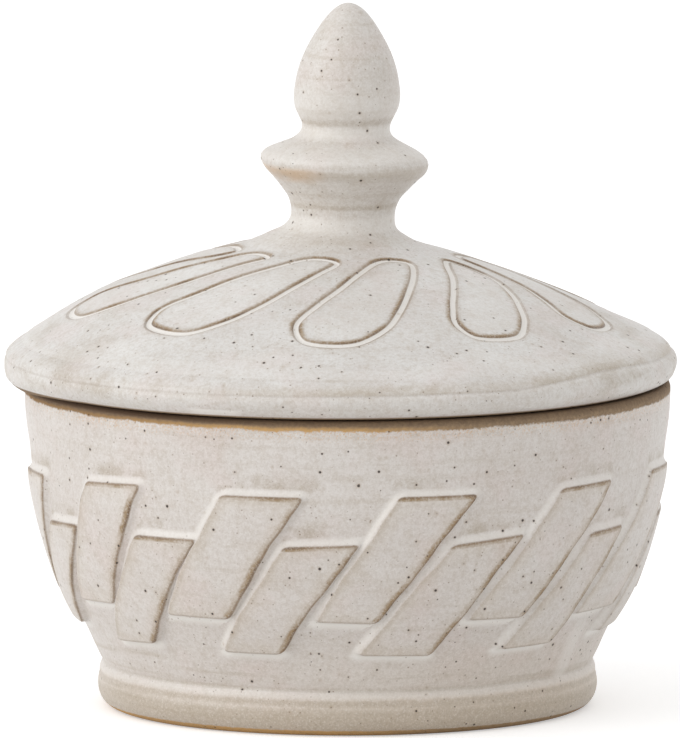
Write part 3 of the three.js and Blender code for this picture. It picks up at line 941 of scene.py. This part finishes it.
# The knob, from the neck up: its profile, and at these heights how far it stands to the right
knob = [(neck_ring, 96.3), (18.8, 96.7), (16.7, 97.5), (14.7, 98.5), (12.1, 100), (11.1, 101.5),
        (10.84, 102.9), (10.93, 104.2), (11.3, 105.5), (12, 106.9), (13, 108.1), (14.1, 109.4),
        (15.3, 110.7), (16.6, 112), (17.2, 113), (17.5, 113.9), (17.35, 114.8), (16.7, 115.6),
        (15.5, 116.4), (13.4, 117.4), (10.5, 118.9), (9.3, 120.4), (9.25, 121.9), (9.8, 123.2),
        (10.4, 124.4), (10.9, 125.7), (11.1, 128.1), (10.8, 130.6), (10.3, 133.1), (9.5, 135.6),
        (8.4, 138.1), (6.95, 140.7), (5.35, 143.2), (3.3, 145.6), (1.55, 146.8), (0.6, 147.08)]
lean_heights = (96.5, 98.2, 99.8, 101.2, 103, 105, 108.4, 112.2, 113.6, 116, 118.5, 120, 121.5, 135, 146)
lean_steps = (-0.5, -1.2, -0.8, 0.0, 0.3, 0.45, 0.8, 0.9, 0.6, 0.4, 0.2, 0.7, 1.0, 1.2, 1.4)
knob_rows = drawn(knob, 0.7)[1:]
t = 2 * math.pi * np.arange(knob_columns) / knob_columns
rings = []
for r, z in knob_rows:
    around = (z - 1.2, z - 0.6, z, z + 0.6, z + 1.2)
    offset = np.interp(around, lean_heights, lean_steps).mean() * np.clip((z - 96.3) / 0.8, 0, 1)
    outwards = np.clip((r - 10) / 7.6, 0, 1)
    on_collar = np.interp(z, (103, 106, 118, 120), (0, 1, 1, 0))
    level = z - fullness(neck_ring, t) * np.interp(z, (96.4, 101), (1, 0))
    level = level - collar_tilt * r * np.sin(t) * outwards * on_collar
    rings.append(np.column_stack([circle(r, knob_columns) + (offset, 0), level]))
neck = np.array([place_of[i] for i in range(knob_columns)])
top = carry_on(neck, rings, True)
tip = sum(len(part) for part in lid_points)
lid_points.append(np.array([(1.4, 0, 147.13)]))
lid_faces += [(a, b, tip) for a, b in zip(top.tolist(), np.roll(top, -1).tolist())]
lid_points = np.vstack(lid_points)
lid_points[:, 0] -= right_pull * (np.maximum(lid_points[:, 0], 0) / lid_radius) ** 2
lid_points += (lid_axis, 0, 0)

# Where the lid's coats lie: in the petals' cuts, along the rolled edge and up the knob, with painted shade in
# the cuts, at the crease and round the knob, and a painted highlight on the edge
lid_glaze = Glaze("lid_glaze")
cut = lid_glaze.attribute("petal_distance")
above_cut = lid_glaze.attribute("uphill")
crease = lid_glaze.attribute("crease")
beside = abs(cut)
height = lid_glaze.z
radius = ((lid_glaze.x - lid_axis) * (lid_glaze.x - lid_axis) + lid_glaze.y * lid_glaze.y) ** 0.5
burnt_runs = lid_glaze.cloud(9, 2, 0.5, shift=(2, 6, 1))
smears = lid_glaze.cloud(8, 3, 0.6, stretch=(0.5, 0.5, 1.5), shift=(7, 1, 4))
# Brown along the cuts, strongest on the side uphill and to the left: thin glaze and painted shade on the wall
# turned from the lamp.
inner_side = cut.rise(0.1, 0.4) * above_cut.rise(-0.75, -0.35)
upper_wall = above_cut.rise(-0.15, 0.2).most(inner_side)
lower_wall = (0 - above_cut).rise(-0.3, 0.2) * (1 - inner_side)
groove = (beside + upper_wall * 0.06).rise(0.68, 0.46)
cut_line = beside.rise(0.42, 0.62) * beside.rise(1.05, 0.75) * (upper_wall * 0.5 + 0.5)
cut_smoke_and_shade = beside.rise(0.42, 0.68) * beside.rise(2.0, 0.7)
cut_smoke_and_shade = cut_smoke_and_shade * (above_cut.rise(-0.3, 0.4).most(inner_side) * 0.72 + 0.28)
lower_line = beside.rise(0.74, 0.88) * beside.rise(1.16, 0.96) * lower_wall
# Painted highlight: a white patch low on the front of the rolled edge, left of the middle.
painted_edge_highlight = height.rise(68.7, 69.1) * height.rise(70.3, 69.9) * lid_glaze.x.rise(-34, -31)
painted_edge_highlight = painted_edge_highlight * lid_glaze.x.rise(-21, -24) * lid_glaze.y.rise(-50, -60)
low_edge = height.rise(77, 73)
# Painted shade along the crease and in a band above it.
shade_above_crease = crease.rise(-0.1, 0.25) * crease.rise(2.6, 0.5)
shade_above_crease = shade_above_crease * smears.rise(0.3, 0.65) * lid_glaze.x.rise(-45, 25)
crease_shade_line = crease.rise(-0.35, -0.05) * crease.rise(0.4, 0.05)
side_smears = abs(lid_glaze.x).rise(28, 58) * smears.rise(0.46, 0.68) * height.rise(100, 92)
on_knob = height.rise(95.5, 99)
# Painted shade: under the collar's edge, at the root of the acorn, and a line round the neck where a shallow
# groove would shade.
shade_under_collar = height.rise(111.2, 112.6) * height.rise(113.8, 113.1) * radius.rise(13, 15)
collar_blush = height.rise(109.8, 112) * height.rise(114.6, 113.2) * radius.rise(13, 15)
collar_blush = collar_blush * lid_glaze.x.rise(-3, -11) * smears.rise(0.3, 0.55)
shade_at_acorn_root = height.rise(121.9, 122.6) * height.rise(124.3, 122.8)
# Painted light: the acorn's lower belly and the collar's shoulder made whiter, as where the lamp falls.
lit_acorn_belly = height.rise(122.9, 124.3) * height.rise(132, 126)
lit_collar_shoulder = height.rise(114.4, 115.4) * height.rise(119, 117)
collar_top = height.rise(118.6, 120.3) * height.rise(122.4, 121.2)
neck_wave = height + smears * 1.2
neck_groove_shade = neck_wave.rise(105.0, 105.7) * neck_wave.rise(107.0, 106.0) * radius.rise(14, 13)
neck_pool = height.rise(99.0, 100.8) * height.rise(103.8, 102.2)
# White rings: pooled glaze at the collar's top and in the neck, and painted light on the collar's shoulder
# and the acorn's belly.
white_and_lit_rings = (collar_top * 0.45).most(lit_collar_shoulder * 0.28)
white_and_lit_rings = white_and_lit_rings.most(lit_acorn_belly * 0.28).most(neck_pool * 0.35)
painted_shade_rings = (shade_at_acorn_root * 0.3).most(neck_groove_shade * 0.45).most(shade_under_collar * 0.25)
under_lid = height.rise(69.0, 68.6) * radius.rise(61, 61.5)
flange = height.rise(68.5, 68.3) * radius.rise(55, 55.4)
lid_glaze.coat(
    pink=0.05,
    warmth=(on_knob * 0.2).most(low_edge * 0.15),
    pooled_and_lit=(groove * 0.85).most(white_and_lit_rings).most(painted_edge_highlight * 0.7).most(cut.rise(1.5, 3.5) * 0.14),
    worn_and_shaded=(cut_line * 0.5).most(lower_line * 0.4).most(crease_shade_line * 0.16),
    smoky_and_shaded=cut_smoke_and_shade * (0.65 + burnt_runs.rise(0.4, 0.64) * 0.8),
    faded_and_shaded=on_knob * 0.05 + shade_above_crease * 0.35,
    hatched_and_shaded=shade_under_collar * 0.35,
    scorch_and_shade=cut_line * burnt_runs.rise(0.5, 0.64) * 0.6,
    thin_and_shaded=(shade_above_crease * 0.55).most(side_smears * 0.4).most(painted_shade_rings),
    blushed=collar_blush * 0.5,
    streaked=0.22 + on_knob * 0.16,
    bare=under_lid.most(flange),
    dark_and_shaded_clay=0.3,
    golden=0.1,
)

uphill_note = np.zeros(len(lid_points))
uphill_note[:lid_count] = uphill
distance_note = np.full(len(lid_points), far_off)
distance_note[:lid_count] = cut_distance
from_axis = (lid_points - (lid_axis, 0, 0)).T
on_edge = np.hypot(from_axis[0], from_axis[1]) > edge_begins
crease_note = np.where(on_edge, above_crease(*from_axis), -far_off)
lid = clay_object("lid_and_knob", lid_points, lid_faces, {
    "petal_distance": distance_note, "uphill": uphill_note, "crease": crease_note})
cut_sizes = {"Cut Depth": 0.44, "Cut Width": 1.7, "Floor Width": 0.6, "Lip Height": 0.06}
nodes, given, keys = shaping_tree("carved_petals", cut_sizes)
beside = abs(measured(nodes, "petal_distance"))
walls = (given["Cut Width"] / 2 - beside) / (given["Cut Width"] / 2 - given["Floor Width"] / 2)
cut_down = walls.most(0).least(1)
cut_down = cut_down * cut_down * (3 - 2 * cut_down)
lip = 1 - (abs(beside - given["Cut Width"] * 0.7) / (given["Cut Width"] * 0.3)).least(1)
lift = lip * given["Lip Height"] - cut_down * given["Cut Depth"]
raised(nodes, given["Geometry"], lift * MM, lid_glaze.material)
shaped(lid, nodes.tree, keys, cut_sizes)
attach(lid, "lid")
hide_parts("lid")
